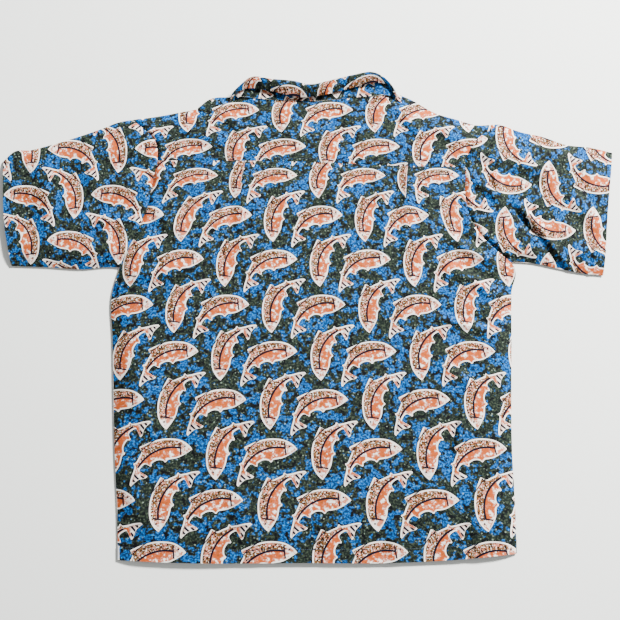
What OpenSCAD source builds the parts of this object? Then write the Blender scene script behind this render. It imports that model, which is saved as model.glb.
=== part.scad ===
// Short-sleeved camp shirt, laid flat with its back up.
// X runs across the chest, Y towards the collar, Z up from the surface it lies on.
// The origin is on that surface, under the middle of the shirt.

/* [Body] */
// Width of the body laid flat, from side seam to side seam
chest_w = 614; // [500:2:760]
// Length from the hem to the top of the collar
body_len = 757; // [640:1:920]
// Height of the back above the surface, with air between the layers
crown = 12; // [11:0.5:20]
// Distance over which a closed edge rises to that height
edge_round = 30; // [20:1:40]
// Thickness of one layer of cloth
cloth_t = 0.7; // [0.4:0.05:0.8]

/* [Shoulders and yoke] */
// Width of the neck laid flat, between the two neck points
neck_w = 250; // [210:2:300]
// Slope of the shoulder and of the top of the sleeve, in degrees
shoulder_slope = 15.5; // [10:0.5:20]
// Depth of the back yoke below the neck points
yoke_depth = 110; // [80:1:140]
// How far the yoke comes over the shoulder onto the front
yoke_wrap = 30; // [15:1:45]
// Distance of each back pleat from the centre
pleat_x = 130; // [80:1:170]
// Depth of cloth folded under in each pleat
pleat_depth = 12; // [6:1:20]
// Length over which a pleat runs out below the yoke
pleat_len = 110; // [60:1:180]

/* [Sleeves] */
// Length of the sleeve past the side of the body
sleeve_len = 163; // [120:1:230]
// Width of the cuff opening laid flat
cuff_w = 179; // [150:1:215]
// How far the lower end of the cuff lies inboard of its upper end
cuff_slant = 13; // [0:1:30]
// Depth of the armhole below the neck points
armhole_depth = 266; // [230:1:320]
// How far the armhole curves in from the side of the body
armhole_in = 70; // [50:1:95]

/* [Front] */
// Width by which the two fronts overlap at the buttons
overlap = 30; // [24:1:40]
// Width of the facing behind each front edge
facing_w = 60; // [45:1:80]
// Distance of the top button below the neck points
first_button = 145; // [120:1:180]
// Distance from one button to the next
button_pitch = 90; // [70:1:105]
// Number of buttons
button_count = 6; // [4:1:6]
// Width of the pocket
pocket_w = 115; // [90:1:140]
// Height of the pocket
pocket_h = 130; // [100:1:150]
// Distance of the pocket's mouth below the neck points
pocket_drop = 165; // [150:1:200]
// Distance of the pocket's middle from the centre
pocket_x = 140; // [130:1:170]

/* [Buttons] */
// Diameter of a button
button_d = 11.5; // [9:0.5:15]
// Thickness of a button
button_t = 2.6; // [1.8:0.1:3]
// Diameter of each of the four thread holes
thread_hole_d = 1.8; // [1.4:0.1:2.2]
// Distance of each thread hole from the button's centre
thread_hole_r = 2.1; // [1.8:0.1:2.6]
// Length of a buttonhole
buttonhole_len = 14; // [11:1:18]

/* [Collar] */
// Radius of the collar's curve round the back of the neck
collar_r = 500; // [400:10:900]
// Width of the stand, from the neckline to the roll
stand_w = 30; // [22:1:36]
// How far the leaf comes back over the stand, seen from above
leaf_reach = 17; // [12:1:22]
// How far the leaf stands above its own root
leaf_rise = 17; // [12:1:24]
// Thickness of the interfacing
interfacing_t = 0.4; // [0.3:0.05:0.6]
// Half the width of the leaf across the back of the neck
leaf_half_w = 103; // [90:1:110]

/* [Hems and seams] */
// Width of the turned-up hem
hem_w = 22; // [12:1:35]
// Width of the sleeve hem
sleeve_hem_w = 25; // [15:1:35]
// Width of a felled seam
seam_w = 8; // [5:0.5:12]
// Width of a line of topstitching
stitch_w = 0.6; // [0.4:0.1:1]
// Height of the topstitching above the cloth
stitch_h = 0.25; // [0.15:0.05:0.4]

/* [Hidden] */
$fn = 48;

left = -1;
right = 1;
far = 1200;              // past any edge of the shirt
cut_clear = 1;           // how far a cut runs past what it cuts
round_steps = 6;         // straight pieces in each rounded edge
curve_steps = 14;        // straight pieces in each armhole
neckline_facets = 96;    // straight pieces in a full turn of the neckline
collar_facets = 240;     // and in a full turn of the collar

// Heights, from the surface up
base_z = cloth_t + 0.1;             // underside of the fronts, above the pocket and lapels
front_top = base_z + cloth_t;       // top of a front away from the buttons
edge_layers = 4.5;                  // thickness of a closed edge, in layers of cloth
edge_h = base_z + edge_layers * cloth_t;
middle_z = crown / 2;               // between the back and the front
tall = 2 * crown;                   // above anything in the flattened body
button_gap = 0.4;                   // air between a button and the cloth it holds
left_lift = button_t + button_gap;  // underside of the left front at the buttons
right_lift = left_lift + 2 * cloth_t;
lift_margin = 7;
lift_flat = overlap / 2 + lift_margin;  // half the width that the buttons lift level
lift_run = 40;                      // distance over which the lift runs out

// Places along Y, from the collar down to the hem
leaf_tuck = 0.82;                   // how far the leaf's curve starts past its middle
leaf_x0 = -leaf_tuck * leaf_reach;  // middle of the leaf's curve, from the roll
collar_t = 2 * cloth_t + interfacing_t;
leaf_bulge = leaf_x0 + leaf_reach + collar_t;
top_y = body_len / 2;
hem_y = -body_len / 2;
curve_y = top_y + sqrt(pow(collar_r - leaf_bulge, 2) - pow(leaf_half_w, 2));
neckline_r = collar_r + stand_w;
neck_x = neck_w / 2;
neck_y = curve_y - sqrt(pow(neckline_r, 2) - pow(neck_x, 2));
seam_step = 0.01;                   // fineness to which the yoke seam is placed
yoke_y = round((neck_y - yoke_depth) / seam_step) * seam_step;
under_y = neck_y - armhole_depth;
button_y = neck_y - first_button;
break_y = button_y + button_d;      // where the fronts part into lapels

// Places along X
half_w = chest_w / 2;
fold_gap = 0.3;
fold_x = half_w + 1;                // line on which a sleeve folds
cuff_x = half_w + sleeve_len;
v_inset = 27;                       // front neck opening, in from the neck points
v_x = neck_x - v_inset;

function shoulder_y(x) = neck_y - (abs(x) - neck_x) * tan(shoulder_slope);
function smooth(u) = (1 - cos(180 * u)) / 2;
function lerp(a, b, t) = a + (b - a) * t;

cuff_top = [cuff_x, shoulder_y(cuff_x)];
cuff_low = [cuff_x - cuff_slant, cuff_top.y - cuff_w];
cuff_dir = (cuff_top - cuff_low) / norm(cuff_top - cuff_low);
underarm = [half_w, under_y];
underarm_angle = atan2(cuff_low.y - under_y, cuff_low.x - half_w);

// Armhole: one cubic curve from the shoulder to the underarm
shoulder_in = 23;                   // its top end, in from the side of the body
under_in = 2;                       // its lower end, in from the side of the body
bow_pull = 0.75;                    // share of the way that a cubic goes to its bows
upper_bow = 0.82;                   // heights of its two bows, from the underarm up
lower_bow = 0.3;
bow_x = half_w - (armhole_in - (shoulder_in + under_in) / 8) / bow_pull;
armhole_top = [half_w - shoulder_in, shoulder_y(half_w - shoulder_in) + cut_clear];
armhole_low = [half_w - under_in, under_y];
function armhole(t) =
    pow(1 - t, 3) * armhole_top
    + 3 * pow(1 - t, 2) * t * [bow_x, lerp(under_y, armhole_top.y, upper_bow)]
    + 3 * (1 - t) * t * t * [bow_x, lerp(under_y, armhole_top.y, lower_bow)]
    + pow(t, 3) * armhole_low;
armhole_points = [for (i = [0:curve_steps]) armhole(i / curve_steps)];
armhole_up = [for (i = [curve_steps:-1:0]) armhole_points[i]];
function shift_x(points, by) = [for (p = points) [p.x + by, p.y]];

// ---- The flattened tube of the body and sleeves ----

// Height of a closed edge at k inside the outer surface, as (distance in, height)
function edge_outline(k) = concat(
    [[far, base_z + k], [k, base_z + k]],
    [for (i = [0:round_steps])
        let (a = 90 * i / round_steps)
        [k + edge_round * (1 - cos(a)), edge_h - k + (crown - edge_h) * sin(a)]],
    [[far, crown - k]]
);

// Everything on the inner side of a closed edge through a point, inner side to the left
module inside_edge(point, angle, k) {
    translate([point.x, point.y, 0])
        rotate([0, 0, angle])
            rotate([90, 0, 90])
                linear_extrude(2 * far, center = true)
                    polygon(edge_outline(k));
}

module sleeve_pillow(side, k) {
    intersection() {
        mirror([side == left ? 1 : 0, 0, 0]) {
            intersection() {
                inside_edge([neck_x, neck_y], 180 - shoulder_slope, k);
                inside_edge(underarm, underarm_angle, k);
            }
        }
        translate([side * (far / 2 + bow_x), 0, 0])
            cube([far, 2 * far, 2 * tall], center = true);
    }
}

module body_pillow(k) {
    intersection() {
        inside_edge([half_w, 0], 90, k);
        inside_edge([-half_w, 0], -90, k);
        inside_edge([neck_x, neck_y], 180 - shoulder_slope, k);
        inside_edge([-neck_x, neck_y], 180 + shoulder_slope, k);
    }
}

// The whole flattened shirt, shrunk inwards by k
module pillow(k) {
    union() {
        body_pillow(k);
        sleeve_pillow(left, k);
        sleeve_pillow(right, k);
    }
}

// The cloth between two depths below the outer surface, over an outline
module layer(k_out, k_in, z_low = 0) {
    difference() {
        intersection() {
            pillow(k_out);
            translate([0, 0, z_low])
                linear_extrude(tall) children();
        }
        pillow(k_in);
    }
}

// ---- Outlines ----

module below(y) {
    translate([-far, y - 2 * far]) square([2 * far, 2 * far]);
}

module above(y) {
    translate([-far, y]) square([2 * far, 2 * far]);
}

// The torso between the two armholes
module torso_outline(inset = 0) {
    difference() {
        polygon(concat(
            [[half_w, hem_y], [half_w, under_y]],
            shift_x(armhole_up, -inset),
            [[neck_x, neck_y + 2 * stand_w], [-neck_x, neck_y + 2 * stand_w]],
            [for (p = shift_x(armhole_points, -inset)) [-p.x, p.y]],
            [[-half_w, under_y], [-half_w, hem_y]]
        ));
        translate([0, curve_y]) circle(r = neckline_r, $fn = neckline_facets);
    }
}

// The strip along the shoulder that the yoke covers on the front
module shoulder_strip(side) {
    mirror([side == left ? 1 : 0, 0])
        intersection() {
            torso_outline();
            translate([neck_x, neck_y])
                rotate(-shoulder_slope)
                    translate([-yoke_wrap, -yoke_wrap])
                        square([far, 2 * yoke_wrap]);
        }
}

// Top edge of the front, where it meets the yoke
function front_top_y(x) = shoulder_y(x) - yoke_wrap / cos(shoulder_slope);
v_low = [-overlap / 2, break_y];
v_high = [v_x, front_top_y(v_x)];
v_dir = (v_high - v_low) / norm(v_high - v_low);
v_out = [v_dir.y, -v_dir.x];
function on_v(share, out = 0) = lerp(v_low, v_high, share) + out * v_out;

// One front, from the buttoned edge to the side seam
module front_outline(side) {
    mirror([side == left ? 1 : 0, 0])
        intersection() {
            polygon(concat(
                [[-overlap / 2, hem_y], [half_w, hem_y], [half_w, under_y]],
                armhole_up,
                [v_high, v_low]
            ));
            polygon([
                [-overlap, hem_y - cut_clear], [far, hem_y - cut_clear],
                [far, front_top_y(far)], v_high, [-overlap, v_high.y]
            ]);
        }
}

// One facing, along the buttoned edge and the lapel's roll
module facing_outline(side) {
    facing_x = facing_w - overlap / 2;
    top_x = v_x + facing_x;
    mirror([side == left ? 1 : 0, 0])
        polygon([
            [-overlap / 2, hem_y], [facing_x, hem_y], [facing_x, break_y - facing_w / 3],
            [top_x, front_top_y(top_x)], v_high, v_low
        ]);
}

// Height of a front across X: raised over the buttons, level beyond
function lift_points(lift, k) = concat(
    [[-far, lift + k], [lift_flat, lift + k]],
    [for (i = [1:round_steps])
        [lift_flat + lift_run * i / round_steps,
         lerp(lift, base_z, smooth(i / round_steps)) + k]],
    [[far, base_z + k]]
);

// A sheet that follows a front, between k_out and k_in above its underside
module front_layer(side, lift, k_out, k_in) {
    upper = lift_points(lift, k_in);
    intersection() {
        linear_extrude(tall) children();
        mirror([side == left ? 1 : 0, 0, 0])
            rotate([90, 0, 0])
                linear_extrude(2 * far, center = true)
                    polygon(concat(
                        lift_points(lift, k_out),
                        [for (i = [len(upper) - 1:-1:0]) upper[i]]
                    ));
    }
}

function front_lift(side) = side == left ? left_lift : right_lift;

// ---- Buttons ----

module at_buttons() {
    for (i = [0:button_count - 1])
        translate([0, button_y - i * button_pitch, 0]) children();
}

module at_thread_holes() {
    for (a = [45:90:315])
        rotate([0, 0, a]) translate([thread_hole_r, 0, 0]) children();
}

module button() {
    rim = 1.2;
    dish = 0.5;
    difference() {
        cylinder(d = button_d, h = button_t);
        translate([0, 0, -cut_clear])
            cylinder(d = button_d - 4 * rim, h = cut_clear + dish);
        at_thread_holes()
            translate([0, 0, -cut_clear])
                cylinder(d = thread_hole_d, h = button_t + 2 * cut_clear);
    }
}

module buttons() {
    color("#3b4650") at_buttons() button();
}

// Four legs through the button, a knot behind it and a shank through the buttonhole
thread_d = 0.9;
shank_d = 2;
module button_threads() {
    color("#5d6670")
        at_buttons() {
            at_thread_holes()
                translate([0, 0, button_gap])
                    cylinder(d = thread_d, h = button_t - button_gap);
            translate([0, 0, button_t])
                cylinder(r = thread_hole_r + thread_d, h = button_gap / 2);
            translate([0, 0, button_t + button_gap / 2])
                cylinder(d = shank_d, h = right_lift - button_t - button_gap / 2);
        }
}

slit_gap = 0.6;     // how much wider the buttonhole is than the shank
slit_w = shank_d + slit_gap;
module buttonholes() {
    at_buttons()
        translate([-slit_w / 2, -buttonhole_len / 2, 0])
            cube([slit_w, buttonhole_len, tall]);
}

// ---- Torso ----

module pleat_outline(side) {
    x = side * pleat_x;
    polygon([[x, yoke_y], [x + side * pleat_depth, yoke_y], [x, yoke_y - pleat_len]]);
}

module back_panel() {
    color("#4d6f8c")
        union() {
            layer(0, cloth_t, front_top)
                intersection() {
                    torso_outline();
                    below(yoke_y);
                }
            for (side = [left, right])
                layer(cloth_t, 2 * cloth_t, middle_z) pleat_outline(side);
        }
}

module back_yoke() {
    color("#56799a")
        union() {
            layer(0, cloth_t, front_top)
                intersection() {
                    torso_outline();
                    above(yoke_y);
                }
            for (side = [left, right])
                intersection() {
                    layer(0, cloth_t) shoulder_strip(side);
                    linear_extrude(front_top) square(2 * far, center = true);
                }
        }
}

module yoke_lining() {
    color("#6b8096")
        layer(cloth_t, 2 * cloth_t, middle_z)
            intersection() {
                torso_outline(seam_w / 2);
                above(yoke_y);
            }
}

// The lapel, turned back under the front; it starts clear of the other one
lapel_start = (overlap / 2 + fold_gap) / (v_high.x - v_low.x);
lapel_end = 0.8;
lapel_notch = on_v(0.74, 30);
lapel_tip = on_v(0.6, 58);
module lapel(side) {
    mirror([side == left ? 1 : 0, 0, 0])
        linear_extrude(base_z)
            polygon([on_v(lapel_start), on_v(lapel_end), lapel_notch, lapel_tip]);
}

module left_front() {
    color("#4a6a86")
        union() {
            difference() {
                front_layer(left, left_lift, 0, cloth_t) front_outline(left);
                buttonholes();
            }
            lapel(left);
        }
}

module right_front() {
    color("#4a6a86")
        union() {
            front_layer(right, right_lift, 0, cloth_t) front_outline(right);
            lapel(right);
        }
}

module left_front_facing() {
    color("#71879c")
        difference() {
            front_layer(left, left_lift, cloth_t, 2 * cloth_t) facing_outline(left);
            buttonholes();
        }
}

module right_front_facing() {
    color("#71879c")
        front_layer(right, right_lift, cloth_t, 2 * cloth_t) facing_outline(right);
}

// The turned-up hem inside one front, from its facing to the side
module front_hem(side) {
    hem_in = facing_w - overlap / 2;
    color("#5f7d98")
        front_layer(side, front_lift(side), cloth_t, 2 * cloth_t)
            mirror([side == left ? 1 : 0, 0])
                translate([hem_in, hem_y])
                    square([half_w - hem_in - 2 * cloth_t, hem_w]);
}

module back_hem() {
    color("#5f7d98")
        layer(cloth_t, 2 * cloth_t, front_top + cloth_t)
            translate([-half_w, hem_y]) square([chest_w, hem_w]);
}

// The felled side seam, lying along the edge of the front
module side_seam(side) {
    color("#3f5d78")
        translate([side == left ? -half_w : half_w - seam_w, hem_y, 0])
            cube([seam_w, under_y - hem_y, base_z]);
}

pocket_low = neck_y - pocket_drop - pocket_h;
pocket_hem_w = 25;
pocket_hem_t = base_z / 2;
module chest_pocket() {
    point = 14;
    color("#52718d")
        difference() {
            linear_extrude(base_z)
                translate([-pocket_x, pocket_low])
                    polygon([
                        [-pocket_w / 2, pocket_h], [-pocket_w / 2, point], [0, 0],
                        [pocket_w / 2, point], [pocket_w / 2, pocket_h]
                    ]);
            translate([-pocket_x - pocket_w, pocket_low + pocket_h - pocket_hem_w,
                       base_z - pocket_hem_t])
                cube([2 * pocket_w, 2 * pocket_hem_w, base_z]);
        }
}

module pocket_hem() {
    color("#5f7d98")
        translate([-pocket_x - pocket_w / 2, pocket_low + pocket_h - pocket_hem_w,
                   base_z - pocket_hem_t])
            cube([pocket_w, pocket_hem_w, pocket_hem_t]);
}

// The seam allowance round one armhole, inside the shirt
module armhole_seam(side) {
    color("#3f5d78")
        layer(cloth_t, 2 * cloth_t)
            mirror([side == left ? 1 : 0, 0])
                intersection() {
                    polygon(concat(
                        shift_x(armhole_points, -seam_w / 2),
                        shift_x(armhole_up, seam_w / 2)
                    ));
                    below(shoulder_y(armhole_top.x));
                    translate([0, -far]) square([half_w - cloth_t, 2 * far]);
                }
}

neck_tape_w = 60;
neck_tape_h = 22;
label_t = 0.5;
label_drop = 10;        // below the middle of the neckline
module neck_tape() {
    color("#e8e6df")
        translate([-neck_tape_w / 2, curve_y - neckline_r - label_drop - neck_tape_h,
                   crown - 2 * cloth_t - label_t])
            cube([neck_tape_w, neck_tape_h, label_t]);
}

care_label_w = 30;
care_label_h = 45;
care_label_up = 110;    // above the hem
module care_label() {
    color("#e8e6df")
        translate([-half_w + edge_round / 2, hem_y + care_label_up, front_top])
            cube([care_label_w, care_label_h, label_t]);
}

// ---- Sleeves ----

module cap_outline(side) {
    mirror([side == left ? 1 : 0, 0])
        polygon(concat(
            armhole_points,
            [[fold_x, under_y], [fold_x, neck_y], [armhole_top.x, neck_y]]
        ));
}

// The part of the sleeve between the armhole and the line where it folds
module sleeve_cap(side) {
    color("#45657f") layer(0, cloth_t) cap_outline(side);
}

// The part of the sleeve past the fold, from its inner end to a line inside the cuff
module sleeve_outline(side, from_cuff = 0, up = 0) {
    end_low = cuff_low - cuff_dir * yoke_wrap - [from_cuff, 0];
    end_top = cuff_top + cuff_dir * yoke_wrap - [from_cuff, 0];
    start_x = fold_x + fold_gap;
    mirror([side == left ? 1 : 0, 0])
        intersection() {
            polygon([[start_x, end_low.y], end_low, end_top, [start_x, neck_y]]);
            translate([half_w, under_y])
                rotate(underarm_angle)
                    translate([-far, up])
                        square([2 * far, far]);
        }
}

module sleeve_tube(side) {
    color("#45657f") layer(0, cloth_t) sleeve_outline(side);
}

module sleeve_hem(side) {
    color("#5f7d98")
        layer(cloth_t, 2 * cloth_t)
            difference() {
                sleeve_outline(side, 0, seam_w);
                sleeve_outline(side, sleeve_hem_w, 0);
            }
}

module underarm_seam(side) {
    color("#3f5d78")
        layer(cloth_t, 2 * cloth_t)
            difference() {
                sleeve_outline(side);
                sleeve_outline(side, -far, seam_w);
            }
}

// ---- Collar ----

stand_low_z = crown - cloth_t;      // the neckline edge, sewn to the yoke
stand_rise = 1.5;                   // from there up to the roll
stand_end = 1.5;                    // air between the stand and the root of the leaf
leaf_clear = 1;                     // air between the yoke and the root of the leaf
leaf_lift = 0.4;                    // height of the curve's middle, as a share of its rise
leaf_z0 = crown + leaf_clear + leaf_lift * leaf_rise;
leaf_from = -12;                    // angles of the leaf's curve, in degrees
leaf_to = 105;
leaf_steps = 12;

// Swings a section round the back of the neck; x is measured from the roll to the hem
module round_neck(half_width) {
    swing = asin(half_width / collar_r);
    translate([0, curve_y, 0])
        rotate([0, 0, 270 - swing])
            rotate_extrude(angle = 2 * swing, $fn = collar_facets)
                translate([collar_r, 0])
                    children();
}

module stand_layer(from, to, shade) {
    color(shade)
        round_neck(leaf_half_w)
            polygon([
                [stand_w, stand_low_z + cloth_t + from],
                [stand_end, stand_low_z + cloth_t + from + stand_rise],
                [stand_end, stand_low_z + cloth_t + to + stand_rise],
                [stand_w, stand_low_z + cloth_t + to]
            ]);
}

function leaf_curve(out) = [
    for (i = [0:leaf_steps])
        let (a = lerp(leaf_from, leaf_to, i / leaf_steps))
        [-leaf_x0 - (leaf_reach + out) * cos(a), leaf_z0 + (leaf_rise + out) * sin(a)]
];

module leaf_layer(from, to, shade) {
    outer = leaf_curve(to);
    color(shade)
        round_neck(leaf_half_w)
            polygon(concat(
                leaf_curve(from),
                [for (i = [leaf_steps:-1:0]) outer[i]]
            ));
}

module under_collar_stand() {
    stand_layer(cloth_t + interfacing_t, collar_t, "#577491");
}

module stand_interfacing() {
    stand_layer(cloth_t, cloth_t + interfacing_t, "#e9e6dc");
}

module upper_collar_stand() {
    stand_layer(0, cloth_t, "#4d6f8c");
}

module under_collar_leaf() {
    leaf_layer(0, cloth_t, "#577491");
}

module leaf_interfacing() {
    leaf_layer(cloth_t, cloth_t + interfacing_t, "#e9e6dc");
}

module upper_collar_leaf() {
    leaf_layer(cloth_t + interfacing_t, collar_t, "#4d6f8c");
}

// The front end of the collar: it turns down round the neck and lies under the shirt
wall_t = 2.2;
wall_high = crown + leaf_rise;
turn_gap = [6, 5];                  // from the end of the leaf to the start of the wall
collar_start = on_v(0.84);
collar_notch = on_v(0.78, 36);
collar_tip = [neck_x + 22, neck_y - 78];
module collar_point(side) {
    leaf_end = [leaf_half_w, curve_y - sqrt(pow(collar_r, 2) - pow(leaf_half_w, 2))];
    start = [leaf_end.x + turn_gap.x, leaf_end.y - turn_gap.y];
    finish = [neck_x, neck_y + cloth_t];
    across = wall_t * [finish.y - start.y, start.x - finish.x] / norm(finish - start);
    color("#4d6f8c")
        mirror([side == left ? 1 : 0, 0, 0])
            union() {
                linear_extrude(base_z)
                    polygon([
                        collar_start, v_high, start, start - across, finish - across,
                        collar_tip, collar_notch
                    ]);
                linear_extrude(wall_high)
                    polygon([start, start - across, finish - across, finish]);
            }
}

// ---- Topstitching ----

module yoke_topstitch() {
    from_seam = 2;
    color("#3c5670")
        layer(-stitch_h, 0, middle_z)
            intersection() {
                torso_outline();
                translate([-half_w, yoke_y + from_seam]) square([chest_w, stitch_w]);
            }
}

module hem_topstitch() {
    color("#3c5670")
        layer(-stitch_h, 0, middle_z)
            translate([-half_w, hem_y + hem_w - stitch_w]) square([chest_w, stitch_w]);
}

module sleeve_topstitch(side) {
    color("#3c5670")
        layer(-stitch_h, 0, middle_z)
            difference() {
                sleeve_outline(side, sleeve_hem_w - stitch_w, seam_w);
                sleeve_outline(side, sleeve_hem_w, 0);
            }
}

back_panel();
back_yoke();
yoke_lining();
left_front();
right_front();
left_front_facing();
right_front_facing();
front_hem(left);  // left_front_hem
front_hem(right);  // right_front_hem
back_hem();
side_seam(left);  // left_side_seam
side_seam(right);  // right_side_seam
chest_pocket();
pocket_hem();
armhole_seam(left);  // left_armhole_seam
armhole_seam(right);  // right_armhole_seam
sleeve_cap(left);  // left_sleeve_cap
sleeve_cap(right);  // right_sleeve_cap
sleeve_tube(left);  // left_sleeve
sleeve_tube(right);  // right_sleeve
sleeve_hem(left);  // left_sleeve_hem
sleeve_hem(right);  // right_sleeve_hem
underarm_seam(left);  // left_underarm_seam
underarm_seam(right);  // right_underarm_seam
under_collar_stand();
upper_collar_stand();
stand_interfacing();
under_collar_leaf();
upper_collar_leaf();
leaf_interfacing();
collar_point(left);  // left_collar_point
collar_point(right);  // right_collar_point
buttons();
button_threads();
neck_tape();
care_label();
yoke_topstitch();
hem_topstitch();
sleeve_topstitch(left);  // left_sleeve_topstitch
sleeve_topstitch(right);  // right_sleeve_topstitch
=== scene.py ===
import math
import bpy
import numpy as np
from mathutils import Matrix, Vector


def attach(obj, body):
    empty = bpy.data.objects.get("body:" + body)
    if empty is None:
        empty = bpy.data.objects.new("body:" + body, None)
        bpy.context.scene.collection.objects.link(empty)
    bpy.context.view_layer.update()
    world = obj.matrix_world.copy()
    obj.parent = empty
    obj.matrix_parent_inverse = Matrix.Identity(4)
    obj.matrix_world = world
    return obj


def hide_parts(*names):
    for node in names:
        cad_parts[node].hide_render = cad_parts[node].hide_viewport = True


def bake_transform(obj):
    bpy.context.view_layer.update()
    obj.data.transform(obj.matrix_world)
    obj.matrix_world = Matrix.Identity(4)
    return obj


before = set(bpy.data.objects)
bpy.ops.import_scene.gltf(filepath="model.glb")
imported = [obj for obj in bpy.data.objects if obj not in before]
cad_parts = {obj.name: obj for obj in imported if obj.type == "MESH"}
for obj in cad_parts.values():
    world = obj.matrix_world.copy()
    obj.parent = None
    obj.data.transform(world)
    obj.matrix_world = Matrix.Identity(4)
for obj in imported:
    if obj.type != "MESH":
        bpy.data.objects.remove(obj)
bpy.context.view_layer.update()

# ---- Camera ----
# A camera on a tall stand looks straight down at the shirt, as a shop does for a flat lay,
# with a long lens so that the outline keeps its true proportions.
bpy.ops.object.select_all(action="DESELECT")
VIEW_CENTRE = (-0.0047, 0.0129)
bpy.ops.object.camera_add(location=(VIEW_CENTRE[0], VIEW_CENTRE[1], 2.4), rotation=(0, 0, 0))
camera = bpy.context.object
camera.name = "flat_lay_camera"
camera.data.lens = 90.0
camera.data.sensor_width = 36.0
camera.data.clip_start = 0.05
camera.data.clip_end = 60.0
bpy.context.scene.camera = camera

# ---- Studio floor ----
# A wide matt board in warm off-white, which the shirt lies on.
bpy.ops.mesh.primitive_plane_add(size=24.0, location=(0, 0, -0.0002))
floor = bpy.context.object
floor.name = "studio_floor"
board = bpy.data.materials.new("floor_board")
board.use_nodes = True
board_shader = board.node_tree.nodes["Principled BSDF"]
board_shader.inputs["Base Color"].default_value = (0.79, 0.805, 0.765, 1)
board_shader.inputs["Roughness"].default_value = 0.9
floor.data.materials.append(board)

# ---- Studio light ----
# A large soft lamp up to the right, and a pale room that fills the shadows.
bpy.ops.object.light_add(type="AREA", location=(1.9, 2.0, 1.7))
key_lamp = bpy.context.object
key_lamp.name = "key_lamp"
key_lamp.data.shape = "DISK"
key_lamp.data.size = 0.55
key_lamp.data.energy = 640.0
key_aim = Vector((0.05, 0.15, 0)) - key_lamp.location
key_lamp.rotation_euler = key_aim.to_track_quat("-Z", "Y").to_euler()
room = bpy.data.worlds.new("pale_room")
bpy.context.scene.world = room
room.use_nodes = True
room.node_tree.nodes["Background"].inputs["Color"].default_value = (0.97, 0.985, 1.0, 1)
room.node_tree.nodes["Background"].inputs["Strength"].default_value = 0.56

# ---- Printed cotton ----
# Plain-woven cotton, printed all over: jumping fish with an inked outline and a cream edge, on a
# dabbed ground of blues and olive. The print is drawn in cloth millimetres on each piece's own map.


class Wire:
    """One value on its way through a material, so that sums can be written as sums."""

    def __init__(self, tree, socket):
        self.tree, self.socket = tree, socket

    def do(self, operation, *others):
        node = self.tree.nodes.new("ShaderNodeMath")
        node.operation = operation
        for slot, value in zip(node.inputs, (self, *others)):
            if isinstance(value, Wire):
                self.tree.links.new(value.socket, slot)
            else:
                slot.default_value = value
        return Wire(self.tree, node.outputs[0])

    def __add__(self, other):
        return self.do("ADD", other)

    def __sub__(self, other):
        return self.do("SUBTRACT", other)

    def __mul__(self, other):
        return self.do("MULTIPLY", other)

    def __truediv__(self, other):
        return self.do("DIVIDE", other)

    def __neg__(self):
        return self * -1.0

    def size(self):
        return self.do("ABSOLUTE")

    def floor(self):
        return self.do("FLOOR")

    def least(self, other):
        return self.do("MINIMUM", other)

    def most(self, other):
        return self.do("MAXIMUM", other)

    def rise(self, start, end):
        """0 before start and 1 after end, with a soft step between; end may be below start."""
        node = self.tree.nodes.new("ShaderNodeMapRange")
        node.interpolation_type = "SMOOTHSTEP"
        self.tree.links.new(self.socket, node.inputs["Value"])
        node.inputs["From Min"].default_value = start
        node.inputs["From Max"].default_value = end
        return Wire(self.tree, node.outputs["Result"])

    def curve(self, points):
        """A profile drawn through given points, read at this value; both run from 0 to 1."""
        node = self.tree.nodes.new("ShaderNodeFloatCurve")
        line = node.mapping.curves[0]
        for x, y in points[1:-1]:
            line.points.new(x, y)
        line.points[0].location = points[0]
        line.points[-1].location = points[-1]
        for point, place in zip(line.points, points):
            point.location = place
            point.handle_type = "AUTO_CLAMPED"
        node.mapping.extend = "HORIZONTAL"
        node.mapping.update()
        self.tree.links.new(self.socket, node.inputs["Value"])
        return Wire(self.tree, node.outputs["Value"])


def paint(tree, under, over, mask):
    """Lays one colour over another where the mask is 1."""
    node = tree.nodes.new("ShaderNodeMix")
    node.data_type = "RGBA"
    node.clamp_factor = True
    tree.links.new(mask.socket, node.inputs["Factor"])
    for name, value in (("A", under), ("B", over)):
        slot = [s for s in node.inputs if s.name == name and s.type == "RGBA"][0]
        if isinstance(value, tuple):
            slot.default_value = (*value, 1)
        else:
            tree.links.new(value, slot)
    return [s for s in node.outputs if s.type == "RGBA"][0]


def ink(red, green, blue):
    """A colour as a dyer names it, 0 to 255 a channel, made linear for the shader."""
    return tuple((c / 255) ** 2.2 for c in (red, green, blue))


def noise(tree, where, per_mm, detail=1.0, rough=0.5):
    """Soft random mottling, with about this many lumps to a millimetre."""
    node = tree.nodes.new("ShaderNodeTexNoise")
    node.inputs["Scale"].default_value = per_mm
    node.inputs["Detail"].default_value = detail
    node.inputs["Roughness"].default_value = rough
    tree.links.new(where, node.inputs["Vector"])
    return Wire(tree, node.outputs["Fac"])


def split(tree, where):
    """The first two coordinates of a place, each as a value of its own."""
    node = tree.nodes.new("ShaderNodeSeparateXYZ")
    tree.links.new(where, node.inputs[0])
    return Wire(tree, node.outputs["X"]), Wire(tree, node.outputs["Y"])


def new_group(name, takes, gives):
    """An effect that several materials share, with its named inputs and outputs."""
    tree = bpy.data.node_groups.new(name, "ShaderNodeTree")
    for label, kind in takes:
        tree.interface.new_socket(label, in_out="INPUT", socket_type="NodeSocket" + kind)
    for label, kind in gives:
        tree.interface.new_socket(label, in_out="OUTPUT", socket_type="NodeSocket" + kind)
    return tree, tree.nodes.new("NodeGroupInput"), tree.nodes.new("NodeGroupOutput")


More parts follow.
